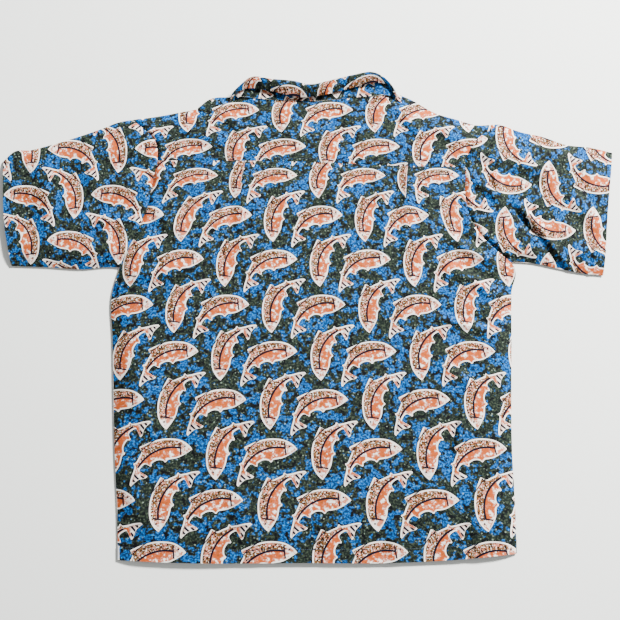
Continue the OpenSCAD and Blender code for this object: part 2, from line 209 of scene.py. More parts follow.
# One fish, in its own millimetres. Its body bends round BEND, so each edge is a profile of
# (angle from the top in degrees, radius in mm), from the tail on the left to the snout.
BEND = (10.0, -33.0)
FROM_ANGLE, ANGLE_SPAN = -100.0, 140.0
BACK_EDGE = (
    (-100, 50), (-94, 55), (-82, 56), (-72, 56), (-65, 57), (-60, 59), (-58.5, 62.5), (-55, 60.5),
    (-47, 62.5), (-40, 66), (-38.5, 74), (-33, 73), (-21, 72), (-9, 71.6), (2, 71), (13, 70.4),
    (22, 68.4), (28, 66.4), (33, 64), (40, 61),
)
BELLY_EDGE = (
    (-100, 60), (-95, 55), (-80, 43.5), (-66, 32), (-63.6, 46.5), (-57, 47.5), (-47.5, 46),
    (-42, 37.5), (-37, 40.5), (-30, 40.5), (-13, 37), (-8.5, 34), (-3, 37), (8, 39), (16, 41.5),
    (24.5, 48.5), (30, 57.5), (33, 64.4), (40, 72),
)
ATLANTIC, COBALT, AZURE, LAGOON = ink(0, 18, 28), ink(0, 42, 78), ink(0, 86, 154), ink(4, 146, 200)
OLIVE, MOSS, SLATE, SAND = ink(20, 28, 25), ink(50, 58, 46), ink(2, 9, 14), ink(138, 156, 138)
CREAM, TAN, SALMON, BLUSH = ink(230, 224, 214), ink(100, 66, 34), ink(160, 74, 34), ink(176, 106, 84)
OUTLINE, SPECK = ink(12, 8, 26), ink(28, 18, 14)

fish, fish_in, fish_out = new_group(
    "printed_fish",
    [("Across", "Float"), ("Up", "Float"), ("Cloth", "Vector")],
    [("Color", "Color"), ("Mask", "Float")],
)
across = Wire(fish, fish_in.outputs["Across"])
up = Wire(fish, fish_in.outputs["Up"])
cloth_place = fish_in.outputs["Cloth"]
from_bend_x = across - BEND[0]
from_bend_y = up - BEND[1]
radius = (from_bend_x * from_bend_x + from_bend_y * from_bend_y).do("SQRT")
angle = from_bend_x.do("ARCTAN2", from_bend_y) * (180 / math.pi)
share = (angle - FROM_ANGLE) / ANGLE_SPAN
edges = []
for profile in (BACK_EDGE, BELLY_EDGE):
    drawn = [((a - FROM_ANGLE) / ANGLE_SPAN, r / 100) for a, r in profile]
    edges.append(share.curve(drawn) * 100.0)
FISH_TRIM = 1.3
inside = (edges[0] - radius).least(radius - edges[1]) - FISH_TRIM
in_turn = angle.rise(-99, -97) * angle.rise(37, 36)
lateral = radius - 56.7 - angle * 0.075
patches = noise(fish, cloth_place, 0.13, 2.0)
patches_fine = noise(fish, cloth_place, 0.42, 2.0)
dabs = patches + patches_fine * 0.45
belly = paint(fish, SALMON, BLUSH, dabs.rise(0.70, 0.78))
belly = paint(fish, belly, CREAM, dabs.rise(0.79, 0.87))
belly = paint(fish, belly, TAN, dabs.rise(0.60, 0.50) * 0.7)
back = paint(fish, TAN, BLUSH, dabs.rise(0.70, 0.80))
back = paint(fish, back, CREAM, patches_fine.rise(0.55, 0.63))
body = paint(fish, belly, back, lateral.rise(-0.4, 0.4))
head = angle.rise(15.5, 18.5)
body = paint(fish, body, paint(fish, BLUSH, CREAM, dabs.rise(0.66, 0.78)), head * 0.8)
tail = angle.rise(-66, -74)
body = paint(fish, body, CREAM, tail * radius.rise(55, 46) * 0.75)
cells = fish.nodes.new("ShaderNodeTexVoronoi")
cells.inputs["Scale"].default_value = 0.30
fish.links.new(cloth_place, cells.inputs["Vector"])
speck = Wire(fish, cells.outputs["Distance"]).rise(0.50, 0.36) * patches_fine.rise(0.38, 0.44)
speck = speck * lateral.rise(1.6, 3.0) * angle.rise(-58, -52) * angle.rise(14, 11)
body = paint(fish, body, SPECK, speck * inside.rise(1.8, 2.6))
body = paint(fish, body, CREAM, inside.rise(2.2, 1.4))
inked = (lateral.size().rise(1.9, 1.2)) * angle.rise(-62, -59) * angle.rise(16.6, 15.6)
gill = (across + up * 0.13 - 28.4).size().rise(1.5, 0.9) * up.rise(11.5, 13) * up.rise(31.5, 30)
inked = inked.most(gill)
eye_x, eye_y = across - 32.2, up - 25.4
inked = inked.most((eye_x * eye_x + eye_y * eye_y).rise(2.8, 1.6))
fin_line = (radius - 66.5 - (angle + 38.5) * 0.24).size().rise(1.0, 0.6)
inked = inked.most(fin_line * angle.rise(-41, -39.5) * angle.rise(-18, -20))
comb = (across * 0.67 + up * 0.74 + 33.2) / 6.4 + 0.5
stripe = (comb - comb.floor() - 0.5).size().rise(0.30, 0.20)
inked = inked.most(stripe * angle.rise(-67, -70) * radius.rise(53, 51.5) * inside.rise(0.2, 1.0)
                   * inside.rise(10, 8.5))
body = paint(fish, body, OUTLINE, inked)
body = paint(fish, body, OUTLINE, inside.rise(-0.1, -0.4))
fish.links.new(body, fish_out.inputs["Color"])
fish.links.new((inside.rise(-1.4, -1.0) * in_turn).socket, fish_out.inputs["Mask"])

# The whole print: two fish to a repeat, the second one turned over, in half-drop rows.
REPEAT = (157.0, 150.6)
FIRST_FISH = (-43.0, -74.0)
SECOND_FISH = (-98.0, -55.0)
print_cloth, print_in, print_out = new_group(
    "fish_print", [("Cloth", "Vector")], [("Color", "Color"), ("Ground", "Float")]
)
whole_place = print_in.outputs["Cloth"]
cloth_u, cloth_v = split(print_cloth, whole_place)


def nearest_repeat(start):
    """Distance across and up from the nearest fish of this kind in the half-drop rows."""
    found = []
    for half in (0.0, 0.5):
        steps = []
        for value, origin, pitch in zip((cloth_u, cloth_v), start, REPEAT):
            turns = (value - origin) / pitch - half
            steps.append((turns - (turns + 0.5).floor()) * pitch)
        found.append((steps, steps[0].size() / REPEAT[0] + steps[1].size() / REPEAT[1]))
    (near, near_far), (other, other_far) = found
    pick = (near_far - other_far).do("GREATER_THAN", 0.0)
    return [n + (o - n) * pick for n, o in zip(near, other)]


ground_soft = noise(print_cloth, whole_place, 0.034, 1.0, 0.5)
ground_mid = noise(print_cloth, whole_place, 0.12, 2.0, 0.6)
ground_fine = noise(print_cloth, whole_place, 0.30, 2.0, 0.6)
olive = paint(print_cloth, OLIVE, MOSS, ground_fine.rise(0.48, 0.60))
olive = paint(print_cloth, olive, SLATE, ground_mid.rise(0.46, 0.38))
blue = paint(print_cloth, COBALT, AZURE, ground_fine.rise(0.44, 0.56))
blue = paint(print_cloth, blue, ATLANTIC, ground_mid.rise(0.42, 0.34))
blue = paint(print_cloth, blue, LAGOON, ground_fine.rise(0.60, 0.70) * 0.8)
ground = paint(print_cloth, olive, blue, (ground_soft * 0.45 + ground_mid * 0.55).rise(0.505, 0.545))
fleck_cells = print_cloth.nodes.new("ShaderNodeTexVoronoi")
fleck_cells.inputs["Scale"].default_value = 0.16
print_cloth.links.new(whole_place, fleck_cells.inputs["Vector"])
fleck = Wire(print_cloth, fleck_cells.outputs["Distance"]).rise(0.26, 0.14)
fleck = fleck * ground_fine.rise(0.44, 0.52)
ground = paint(print_cloth, ground, SAND, fleck * 0.5)
all_over = ground
covered = None
for start, turned in ((SECOND_FISH, True), (FIRST_FISH, False)):
    right, above = nearest_repeat(start)
    one = print_cloth.nodes.new("ShaderNodeGroup")
    one.node_tree = fish
    for slot, value in (("Across", -above if turned else right), ("Up", -right if turned else above)):
        print_cloth.links.new(value.socket, one.inputs[slot])
    print_cloth.links.new(whole_place, one.inputs["Cloth"])
    mask = Wire(print_cloth, one.outputs["Mask"])
    all_over = paint(print_cloth, all_over, one.outputs["Color"], mask)
    covered = mask if covered is None else covered.most(mask)
print_cloth.links.new(all_over, print_out.inputs["Color"])
print_cloth.links.new((covered * -1.0 + 1.0).socket, print_out.inputs["Ground"])

# Plain weave: threads over and under each other, a little uneven, for bump and sheen.
THREADS_PER_MM = 1.6
weave, weave_in, weave_out = new_group(
    "plain_weave", [("Cloth", "Vector")], [("Height", "Float"), ("Slub", "Float")]
)
warp_at, weft_at = split(weave, weave_in.outputs["Cloth"])
warp = (warp_at * (math.pi * THREADS_PER_MM)).do("SINE")
weft = (weft_at * (math.pi * THREADS_PER_MM)).do("SINE")
slub = noise(weave, weave_in.outputs["Cloth"], 0.9, 3.0, 0.7)
weave.links.new((warp * weft * 0.5 + slub).socket, weave_out.inputs["Height"])
weave.links.new(slub.socket, weave_out.inputs["Slub"])


def cotton(name, wrong_side=False):
    """The printed cotton; on the wrong side the print shows through, pale and soft."""
    made = bpy.data.materials.new(name)
    made.use_nodes = True
    tree = made.node_tree
    shader = tree.nodes["Principled BSDF"]
    where = tree.nodes.new("ShaderNodeUVMap")
    where.uv_map = "cloth"
    scale = tree.nodes.new("ShaderNodeVectorMath")
    scale.operation = "SCALE"
    scale.inputs["Scale"].default_value = 1000.0
    tree.links.new(where.outputs[0], scale.inputs[0])
    mm = scale.outputs[0]
    printed = tree.nodes.new("ShaderNodeGroup")
    printed.node_tree = print_cloth
    woven = tree.nodes.new("ShaderNodeGroup")
    woven.node_tree = weave
    for group in (printed, woven):
        tree.links.new(mm, group.inputs["Cloth"])
    slubs = Wire(tree, woven.outputs["Slub"])
    colour = paint(tree, printed.outputs["Color"], ink(250, 244, 232), slubs.rise(0.60, 0.80) * 0.03)
    if wrong_side:
        colour = paint(tree, colour, ink(214, 212, 204), slubs * 0.3 + 0.42)
    tree.links.new(colour, shader.inputs["Base Color"])
    tree.links.new((slubs * 0.20 + 0.68).socket, shader.inputs["Roughness"])
    bump = tree.nodes.new("ShaderNodeBump")
    bump.inputs["Strength"].default_value = 0.25
    bump.inputs["Distance"].default_value = 0.0002
    tree.links.new(woven.outputs["Height"], bump.inputs["Height"])
    tree.links.new(bump.outputs[0], shader.inputs["Normal"])
    shader.inputs["Specular IOR Level"].default_value = 0.12
    return made


printed_cotton = cotton("printed_cotton")
printed_inside = cotton("printed_cotton_inside", wrong_side=True)

# ---- Back panel ----
# One large piece of printed cotton from the yoke seam to the hem, with a small knife pleat each
# side of the middle. It is sewn to the yoke above and the fronts at the sides, and hemmed below.
MM = 0.001        # places below are in millimetres, and the meshes in metres
CROWN = 10.4      # height of the upper layer, well in from the edges
RIM = 2.5         # height of a folded edge
SOFT_EDGE = 40.0  # how far in from a folded edge the cloth keeps rising
ROUNDING = 2.2    # how steeply it starts to rise
COTTON = 0.45     # thickness of one layer

# The outlines of the laid shirt: side edges and cuffs as (y, x), the other lines as (x, y).
LEFT_EDGE = (
    (-374, -302), (-300, -303), (-206, -307), (-32, -310), (37, -311), (78, -299), (87, -296),
    (110, -284), (140, -269), (170, -256), (214, -247), (244, -240), (276, -245), (307, -279),
)
RIGHT_EDGE = (
    (-364, 315), (-300, 313), (-206, 308), (-32, 307), (40, 307), (84, 308), (92, 300),
    (110, 279), (129, 260), (150, 246), (176, 237), (214, 235), (250, 238), (280, 257), (300, 288),
)
HEM_LINE = ((-302, -374), (-194, -378), (-5, -378), (118, -378), (222, -373), (315, -364))
YOKE_LINE = ((-240, 244), (-120, 243), (-20, 242), (119, 236), (235, 233))
NECK_LINE = ((-127, 342), (-65, 337), (-29, 336), (6, 335), (59, 340), (102, 344), (127, 347))
TOP_LEFT = (
    (-478, 243), (-465, 256), (-437, 260), (-409, 267), (-356, 283), (-327, 293), (-301, 303),
    (-279, 307), (-240, 312), (-203, 319), (-180, 324), (-163, 337), (-127, 343),
)
TOP_RIGHT = (
    (127, 349), (149, 339), (187, 318), (226, 306), (249, 299), (288, 300), (321, 288), (353, 281),
    (392, 268), (428, 264), (462, 256),
)
UNDER_LEFT = ((-466, 81), (-411, 79), (-353, 76), (-320, 79), (-299, 79))
UNDER_RIGHT = ((308, 87), (339, 85), (378, 77), (419, 69), (448, 66))
LEFT_CUFF = ((81, -466), (111, -471), (143, -476), (182, -478), (243, -478))
RIGHT_CUFF = ((66, 448), (100, 451), (145, 453), (188, 456), (256, 462))

# Soft folds in the laid cloth: (from x, y, to x, y, half width, height), in millimetres.
FOLDS = (
    (-300, 60, -170, 85, 13, 2.0), (-290, 20, -190, 66, 10, 1.4), (-250, 170, -190, 120, 12, 1.6),
    (-255, 240, -200, 190, 10, 1.4), (-230, 40, -120, 150, 20, 1.2), (-90, 230, -84, 90, 12, 1.0),
    (-118, 238, -104, 60, 8, 1.6), (150, 234, 138, 70, 9, 1.8), (100, 232, 108, 120, 10, 1.0),
    (30, 236, 20, 150, 16, 0.8), (-40, 230, -52, 120, 18, 0.9), (300, 74, 196, 134, 8, 2.8),
    (306, 22, 190, 94, 9, 2.6), (304, -30, 176, 6, 7, 3.0), (236, -24, 116, -112, 10, 2.4),
    (190, 160, 150, 90, 14, 1.4), (232, -136, 216, -222, 5, 3.4), (250, -110, 196, -60, 8, 2.0),
    (120, -60, 40, -140, 22, 1.4), (200, -210, 150, -330, 16, 1.4), (60, -150, 30, -330, 24, 1.3),
    (-60, -40, -110, -200, 26, 1.2), (-180, -80, -150, -260, 24, 1.1), (-280, -60, -230, -230, 20, 1.3),
    (-300, -120, -262, -60, 10, 1.2), (-296, -250, -240, -350, 14, 1.2), (-120, -260, -90, -376, 16, 1.4),
    (10, -300, 26, -378, 12, 1.3), (140, -290, 120, -378, 13, 1.4), (240, -270, 262, -376, 12, 1.6),
    (312, -100, 262, -170, 9, 1.6), (310, -30, 292, -60, 6, 1.8), (110, -10, 170, 60, 18, 1.2),
    (-20, 60, 60, 10, 26, 1.0), (-10, 180, 80, 200, 20, 0.7), (-190, 210, -150, 240, 9, 1.0),
    (-210, 300, -120, 262, 12, 1.3), (-150, 326, -100, 286, 9, 1.4), (120, 330, 180, 276, 10, 1.8),
    (150, 326, 240, 262, 12, 1.6), (60, 330, 70, 270, 14, 1.0), (-40, 328, -30, 262, 16, 0.8),
    (-245, 270, -330, 250, 11, 1.6), (-250, 214, -350, 200, 14, 1.5), (-262, 150, -350, 150, 12, 1.4),
    (-280, 110, -380, 96, 10, 1.4), (-360, 270, -330, 180, 12, 1.2), (-420, 250, -400, 110, 18, 1.3),
    (-470, 200, -400, 190, 10, 1.0), (-440, 90, -380, 140, 10, 1.1), (240, 262, 300, 240, 9, 2.0),
    (238, 220, 296, 178, 8, 2.6), (262, 140, 300, 186, 8, 2.2), (312, 182, 368, 114, 6, 3.8),
    (358, 124, 404, 66, 6, 3.8), (273, 232, 296, 186, 5, 2.6), (290, 290, 272, 246, 7, 1.8),
    (300, 250, 380, 214, 14, 1.8), (330, 276, 420, 236, 12, 1.4), (390, 190, 450, 140, 13, 1.8),
    (400, 110, 448, 96, 9, 1.4), (300, 110, 350, 96, 8, 1.8), (420, 250, 440, 170, 12, 1.2),
)


def soft_curve(points, at):
    """A soft line through listed points, read at the given places."""
    xs, ys = np.array(points, float).T
    slope = np.gradient(ys, xs)
    i = np.clip(np.searchsorted(xs, at) - 1, 0, len(xs) - 2)
    step = xs[i + 1] - xs[i]
    t = np.clip((at - xs[i]) / step, 0, 1)
    return ((1 + 2 * t) * (1 - t) ** 2 * ys[i] + t * (1 - t) ** 2 * step * slope[i]
            + t * t * (3 - 2 * t) * ys[i + 1] + t * t * (t - 1) * step * slope[i + 1])


def soft_path(points, upright):
    """The same line as a run of places, for points given as (y, x) when upright."""
    at = np.linspace(points[0][0], points[-1][0], 5 * len(points))
    line = soft_curve(points, at)
    return np.stack([line, at] if upright else [at, line], 1)


def far_from(x, y, paths):
    """Distance of each place from the nearest of these lines."""
    nearest = np.full(x.shape, 1e9)
    for path in paths:
        for (ax, ay), (bx, by) in zip(path[:-1], path[1:]):
            dx, dy = bx - ax, by - ay
            t = np.clip(((x - ax) * dx + (y - ay) * dy) / (dx * dx + dy * dy), 0, 1)
            nearest = np.minimum(nearest, np.hypot(x - ax - t * dx, y - ay - t * dy))
    return nearest


side_paths = [
    soft_path([p for p in LEFT_EDGE if p[0] < 80], True),
    soft_path([p for p in RIGHT_EDGE if p[0] < 86], True),
]
sleeve_paths = [
    soft_path(line, False) for line in (TOP_LEFT, TOP_RIGHT, UNDER_LEFT, UNDER_RIGHT)
]
CLOSED_PATHS = side_paths + sleeve_paths


def step_up(value, start, end):
    """0 before start and 1 after end, with a soft step between; end may be below start."""
    t = np.clip((value - start) / (end - start), 0, 1)
    return t * t * (3 - 2 * t)


def folds_at(x, y):
    """Height that the soft folds add, each a ridge with a shallow hollow beside it."""
    total = np.zeros(x.shape)
    for ax, ay, bx, by, wide, high in FOLDS:
        length = math.hypot(bx - ax, by - ay)
        along = ((x - ax) * (bx - ax) + (y - ay) * (by - ay)) / length
        aside = ((x - ax) * (by - ay) - (y - ay) * (bx - ax)) / length
        wander = aside + 0.18 * wide * np.sin(along / (0.23 * length) + ax)
        taper = step_up(along, -0.10 * length, 0.35 * length)
        taper = taper * step_up(along, 1.10 * length, 0.62 * length)
        ridge = np.exp(-(wander / wide) ** 2) - 0.55 * np.exp(-((wander - 1.5 * wide) / wide) ** 2)
        fullness = 2.1 if wide > 12 else 1.6
        total += fullness * high * taper * ridge
    return total


def back_height(x, y):
    """Height of the upper layer of the laid shirt, body and sleeves alike."""
    t = np.clip(far_from(x, y, CLOSED_PATHS) / SOFT_EDGE, 0, 1)
    rise = 1 - (1 - t) ** ROUNDING
    crown = CROWN + 0.9 * np.sin(x / 83 + 0.7) * np.sin(y / 97 + 1.9) + 0.5 * np.sin(x / 41 - y / 57)
    crown = crown - 4.2 * step_up(y, -300, -378) - 2.6 * step_up(np.abs(x), 400, 478)
    return RIM + (crown - RIM) * rise + folds_at(x, y) * (0.25 + 0.75 * t)


def cloth_grid(name, across_count, up_count, place, printed):
    """A woven sheet: place(u, v) gives its points and printed(u, v) the print there, in mm."""
    bpy.ops.object.select_all(action="DESELECT")
    bpy.ops.mesh.primitive_grid_add(x_subdivisions=across_count, y_subdivisions=up_count, size=1)
    piece = bpy.context.object
    piece.name = piece.data.name = name
    flat = np.empty(len(piece.data.vertices) * 3, np.float32)
    piece.data.vertices.foreach_get("co", flat)
    u, v = flat.reshape(-1, 3)[:, 0].astype(float) + 0.5, flat.reshape(-1, 3)[:, 1].astype(float) + 0.5
    points = np.stack(place(u, v), 1) * MM
    piece.data.vertices.foreach_set("co", points.astype(np.float32).ravel())
    corners = np.empty(len(piece.data.loops), np.int32)
    piece.data.loops.foreach_get("vertex_index", corners)
    cloth_map = piece.data.uv_layers[0]
    cloth_map.name = "cloth"
    where = np.stack(printed(u, v), 1)[corners] * MM
    cloth_map.data.foreach_set("uv", where.astype(np.float32).ravel())
    piece.data.update()
    return piece


SMOOTH_BELOW = 60.0


def thicken(piece, thickness, outside=None, inside=None):
    """Gives a sheet its thickness inwards, smooths it and names its materials."""
    bpy.ops.object.select_all(action="DESELECT")
    bpy.context.view_layer.objects.active = piece
    piece.select_set(True)
    piece.data.materials.append(outside or printed_cotton)
    piece.data.materials.append(inside or printed_inside)
    wall = piece.modifiers.new("cloth_thickness", "SOLIDIFY")
    wall.thickness = thickness * MM
    wall.offset = -1.0
    wall.use_rim = True
    wall.material_offset = 1
    bpy.ops.object.modifier_apply(modifier=wall.name)
    bpy.ops.object.shade_smooth_by_angle(angle=math.radians(SMOOTH_BELOW))
    return piece


PRINT_SCALE = 0.952
PRINT_SHRINK = 0.00039


def body_print(x, y):
    """The print on the body: it runs a little smaller towards the yoke, where cloth is taken in."""
    scale = PRINT_SCALE - PRINT_SHRINK * y
    return (x + 25) / scale, np.log(PRINT_SCALE / scale) / PRINT_SHRINK


# The knife pleats: place across, the side they open to, and the cloth each takes in.
PLEAT_LENGTH = 118.0
PLEATS = ((-108.0, -1.0, 16.0), (146.0, 1.0, 26.0))
BACK_LOW, BACK_HIGH = -374.0, 240.0


def back_plan(u, v):
    """Plan of the back panel: u runs side to side, v from the hem to the yoke seam."""
    y = BACK_LOW + (BACK_HIGH - BACK_LOW) * v
    for _ in range(4):
        x = soft_curve(LEFT_EDGE, y) * (1 - u) + soft_curve(RIGHT_EDGE, y) * u
        y = soft_curve(HEM_LINE, x) * (1 - v) + soft_curve(YOKE_LINE, x) * v
    return x, y


def pleats_at(x, y):
    """(height, cloth taken in) at the knife pleats, which run out below the yoke."""
    height, taken = np.zeros(x.shape), np.zeros(x.shape)
    for at, side, depth in PLEATS:
        fade = step_up(y, 240 - PLEAT_LENGTH, 226)
        past = (x - at - 4 * np.sin(y / 37)) * side
        height += 1.5 * fade * step_up(past, -26, 0) * (past < 0)
        taken += side * depth * fade * (past >= 0)
    return height, taken


def back_seam_dip(x, y):
    """The cloth dips where the seams draw it in."""
    near_yoke = np.abs(y - soft_curve(YOKE_LINE, x))
    return -0.9 * np.exp(-(near_yoke / 2.6) ** 2)


def armhole_dip(x, y):
    """The groove of each armhole seam, with the sleeve's fullness beside it."""
    paths = [soft_path([p for p in edge if p[0] > 86], True) for edge in (LEFT_EDGE, RIGHT_EDGE)]
    away = far_from(x, y, paths)
    return -2.4 * np.exp(-(away / 2.6) ** 2) + 0.8 * np.exp(-((away - 7) / 4.0) ** 2)


def upper_layer(x, y):
    """Height of the shirt's upper layer with its seams drawn in."""
    return back_height(x, y) + back_seam_dip(x, y) * (np.abs(x) < 250) + armhole_dip(x, y)


def back_place(u, v):
    x, y = back_plan(u, v)
    hem_line = soft_curve(HEM_LINE, x)
    groove = -0.35 * np.exp(-((y - hem_line - 22) / 2.0) ** 2)
    z = upper_layer(x, y) + pleats_at(x, y)[0] + groove
    return x, y, z


def back_print(u, v):
    x, y = back_plan(u, v)
    across_print, up_print = body_print(x, y)
    return across_print + pleats_at(x, y)[1], up_print + 9 * step_up(y, 196, 236)


back_panel = cloth_grid("back_panel_cloth", 172, 172, back_place, back_print)
thicken(back_panel, COTTON)
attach(back_panel, "torso")
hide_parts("back_panel")


# ---- Back yoke ----
# A shaped piece of the same cotton across the shoulder blades, seamed to the back panel below and
# to the collar above. It wraps over each shoulder and meets the fronts a little way down.
TOP_LINE = TOP_LEFT[7:-1] + NECK_LINE + TOP_RIGHT[1:6]
WRAP = 28.0       # how far the yoke runs down in front of the shoulder


def yoke_plan(u, v):
    """Plan of the yoke: u runs side to side, v from its seam to the shoulder and neck line."""
    y = 240 + 70 * v
    for _ in range(8):
        x = soft_curve(LEFT_EDGE, y) * (1 - u) + soft_curve(RIGHT_EDGE, y) * u
        y = soft_curve(YOKE_LINE, x) * (1 - v) + soft_curve(TOP_LINE, x) * v
    return x, y


def yoke_place(u, v):
    x, y = yoke_plan(u, v)
    return x, y, upper_layer(x, y) + 0.25


def yoke_print_at(x, y):
    """The yoke's own cut of the print, squeezed up and down where the cloth slopes away."""
    return (x + 51) / 0.92 - 43, (y - 249) / 0.75 - 74


back_yoke = cloth_grid(
    "back_yoke_cloth", 190, 36, yoke_place, lambda u, v: yoke_print_at(*yoke_plan(u, v))
)
for low_x, high_x, name in ((-272, -127, "left_shoulder_wrap"), (127, 279, "right_shoulder_wrap")):
    def wrap_plan(u, v):
        x = high_x + (low_x - high_x) * u
        return x, soft_curve(TOP_LINE, x) - WRAP * np.clip(1 - v, 0.06, 1) + 0.06 * WRAP

    def wrap_place(u, v):
        x, y = wrap_plan(u, v)
        edge_z = back_height(x, soft_curve(TOP_LINE, x)) + 0.25
        return x, y, 0.7 + (edge_z - 0.7) * step_up(v, 0.78, 1.0)

    def wrap_print(u, v):
        x, y = wrap_plan(u, v)
        return yoke_print_at(x, 2 * soft_curve(TOP_LINE, x) - y)

    shoulder_wrap = cloth_grid(name, 50, 16, wrap_place, wrap_print)
    bpy.ops.object.select_all(action="DESELECT")
    shoulder_wrap.select_set(True)
    back_yoke.select_set(True)
    bpy.context.view_layer.objects.active = back_yoke
    bpy.ops.object.join()
thicken(back_yoke, COTTON)


def sew_in(piece, body, nodes):
    """Says what a laid sheet moves with and which parts it stands for."""
    if body:
        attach(piece, body)
    if nodes:
        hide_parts(*nodes)


sew_in(back_yoke, "torso", ["back_yoke"])

# ---- Sleeves ----
# Each sleeve is one piece of cotton, set into the armhole and closed by a seam under the arm. The
# print runs across it. Its end is turned in and stitched down as a hem.
SLEEVE_TURN = 24.0   # depth of the hem turned in at the cuff
SLEEVE_LONG = 170.0  # armhole to cuff
OUTER_SHARE = 0.88   # the part of the piece's length before its turn


def sleeve_piece(name, inner, cuff, under, top, printed_at, mirrored):
    """One sleeve, a flattened tube: u goes round it and v from the armhole to the turned-in end."""
    def plan(u, v):
        around = 2 * np.abs(u - 0.5) if mirrored else 1 - 2 * np.abs(u - 0.5)
        across = 0.5 - 0.5 * np.cos(math.pi * np.clip(around, 0, 1))
        along = np.clip(v / OUTER_SHARE, 0, 1)
        y = 80 + 220 * across
        for _ in range(12):
            x = soft_curve(inner, y) * (1 - along) + soft_curve(cuff, y) * along
            y = soft_curve(under, x) * (1 - across) + soft_curve(top, x) * across
        turned = np.clip((v - OUTER_SHARE) / (1 - OUTER_SHARE), 0, 1)
        outward = 1 if cuff[0][1] > 0 else -1
        at_fold = (turned > 0) * (turned < 0.2)
        x = x - outward * SLEEVE_TURN * np.clip(turned - 0.05, 0, 1) + outward * 0.7 * at_fold
        return x, y, across, turned

    def place(u, v):
        x, y, across, turned = plan(u, v)
        upper = upper_layer(x, y) + 0.2
        edge = np.clip(far_from(x, y, sleeve_paths) / 30, 0, 1)
        lower = COTTON + 1.75 * (1 - edge) ** ROUNDING + 0.5 * np.abs(np.sin(x / 29 + y / 41)) * edge
        z = np.where(u < 0.5, upper, lower)
        tuck = np.clip(edge * 30 / 8, 0, 1) * step_up(turned, 0.0, 0.10) * 1.0
        z = np.where(z == upper, z - tuck, z + tuck)
        centre_y = (soft_curve(under, x) + soft_curve(top, x)) / 2
        y = y + (centre_y - y) * 0.022 * (turned > 0.05)
        groove_at = OUTER_SHARE * (1 - SLEEVE_TURN / SLEEVE_LONG)
        z = z - np.where(z > 3, 0.4, 0) * np.exp(-((v - groove_at) / 0.012) ** 2)
        return x, y, z

    def printed(u, v):
        x, y, _, _ = plan(u, v)
        y = np.where(u < 0.5, y, 2 * soft_curve(top, x) - y)
        return printed_at(x, y)

    return cloth_grid(name, 130, 76, place, printed)


def left_sleeve_print(x, y):
    return -43 - (y - 263.6) / 0.9, -74 + (x + 319.8) / 0.9


def right_sleeve_print(x, y):
    return -43 + (y - 204) / 0.9, -74 - (x - 382.9) / 0.9


left_sleeve = sleeve_piece("left_sleeve_cloth", LEFT_EDGE, LEFT_CUFF, UNDER_LEFT, TOP_LEFT[:8],
                           left_sleeve_print, False)
right_sleeve = sleeve_piece("right_sleeve_cloth", RIGHT_EDGE, RIGHT_CUFF, UNDER_RIGHT, TOP_RIGHT[5:],
                            right_sleeve_print, True)


def bend_with_sleeve(piece):
    """Bakes the piece's placing into its own points, leaving it tied to no body."""
    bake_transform(piece)


for side, sleeve in (("left", left_sleeve), ("right", right_sleeve)):
    thicken(sleeve, COTTON)
    bend_with_sleeve(sleeve)
    cad_pieces = [f"{side}_sleeve_cap", f"{side}_sleeve", f"{side}_sleeve_hem"]
    sew_in(sleeve, None, cad_pieces)

# ---- Fronts ----
# Two cotton fronts, lying face down under the back. Each is sewn to the yoke at the shoulder, to
# the sleeve and to the back at the side. Past the side they overlap at the middle to button.
LAP = 22.0            # how far each front passes the middle
FRONT_PRINT = 0.96    # size of the print on the fronts
FRONT_TOPS = {
    "left": ((-247, 283), (-203, 290), (-163, 304), (-122, 316), (-98, 323), (-60, 287), (-20, 248),
             (15, 214), (LAP, 205)),
    "right": ((-LAP, 205), (-15, 214), (20, 248), (60, 287), (98, 323), (122, 317), (163, 303),
              (203, 286), (252, 276)),
}
V_LINES = [np.array([(-15, 214), (98, 323)], float), np.array([(15, 214), (-98, 323)], float)]
POCKET_X = (-197.5, -82.5)
POCKET_Y = (52.8, 182.8)


def front_height(x, y, lift):
    """Height of a front's outer face: it rests on the floor but for the buttons and lapels."""
    base = 0.62 + 0.35 * np.abs(np.sin(x / 47 + y / 61 + 0.4)) * np.abs(np.sin(y / 83))
    over_pocket = step_up(x, POCKET_X[0] - 9, POCKET_X[0]) * step_up(x, POCKET_X[1] + 9, POCKET_X[1])
    over_pocket = over_pocket * step_up(y, POCKET_Y[0] - 9, POCKET_Y[0])
    over_pocket = over_pocket * step_up(y, POCKET_Y[1] + 9, POCKET_Y[1])
    base = np.maximum(base, 0.62 + 0.5 * over_pocket)
    base = np.maximum(base, 1.75 * step_up(far_from(x, y, V_LINES), 74, 56))
    base = base + (lift - base) * step_up(np.abs(x), 62, LAP) * step_up(y, 262, 232)
    edge = np.clip(far_from(x, y, CLOSED_PATHS) / 26, 0, 1)
    return base + (2.0 - base) * (1 - edge) ** ROUNDING


def front_plan(side, u, v):
    """Plan of a front: u runs from its side seam or its front edge, v from the hem upwards."""
    if side == "left":
        u = 1 - u
    y = -374 + 640 * v
    for _ in range(10):
        if side == "left":
            x = soft_curve(LEFT_EDGE, y) * (1 - u) + LAP * u
        else:
            x = -LAP * (1 - u) + soft_curve(RIGHT_EDGE, y) * u
        top = soft_curve(FRONT_TOPS[side], x)
        y = soft_curve(HEM_LINE, x) * (1 - v) + top * v
    return x, y


# Height of each front's buttoned edge: the buttons hold it up, and the right front lies above.
FRONT_LIFTS = {"left": 3.0, "right": 4.4}


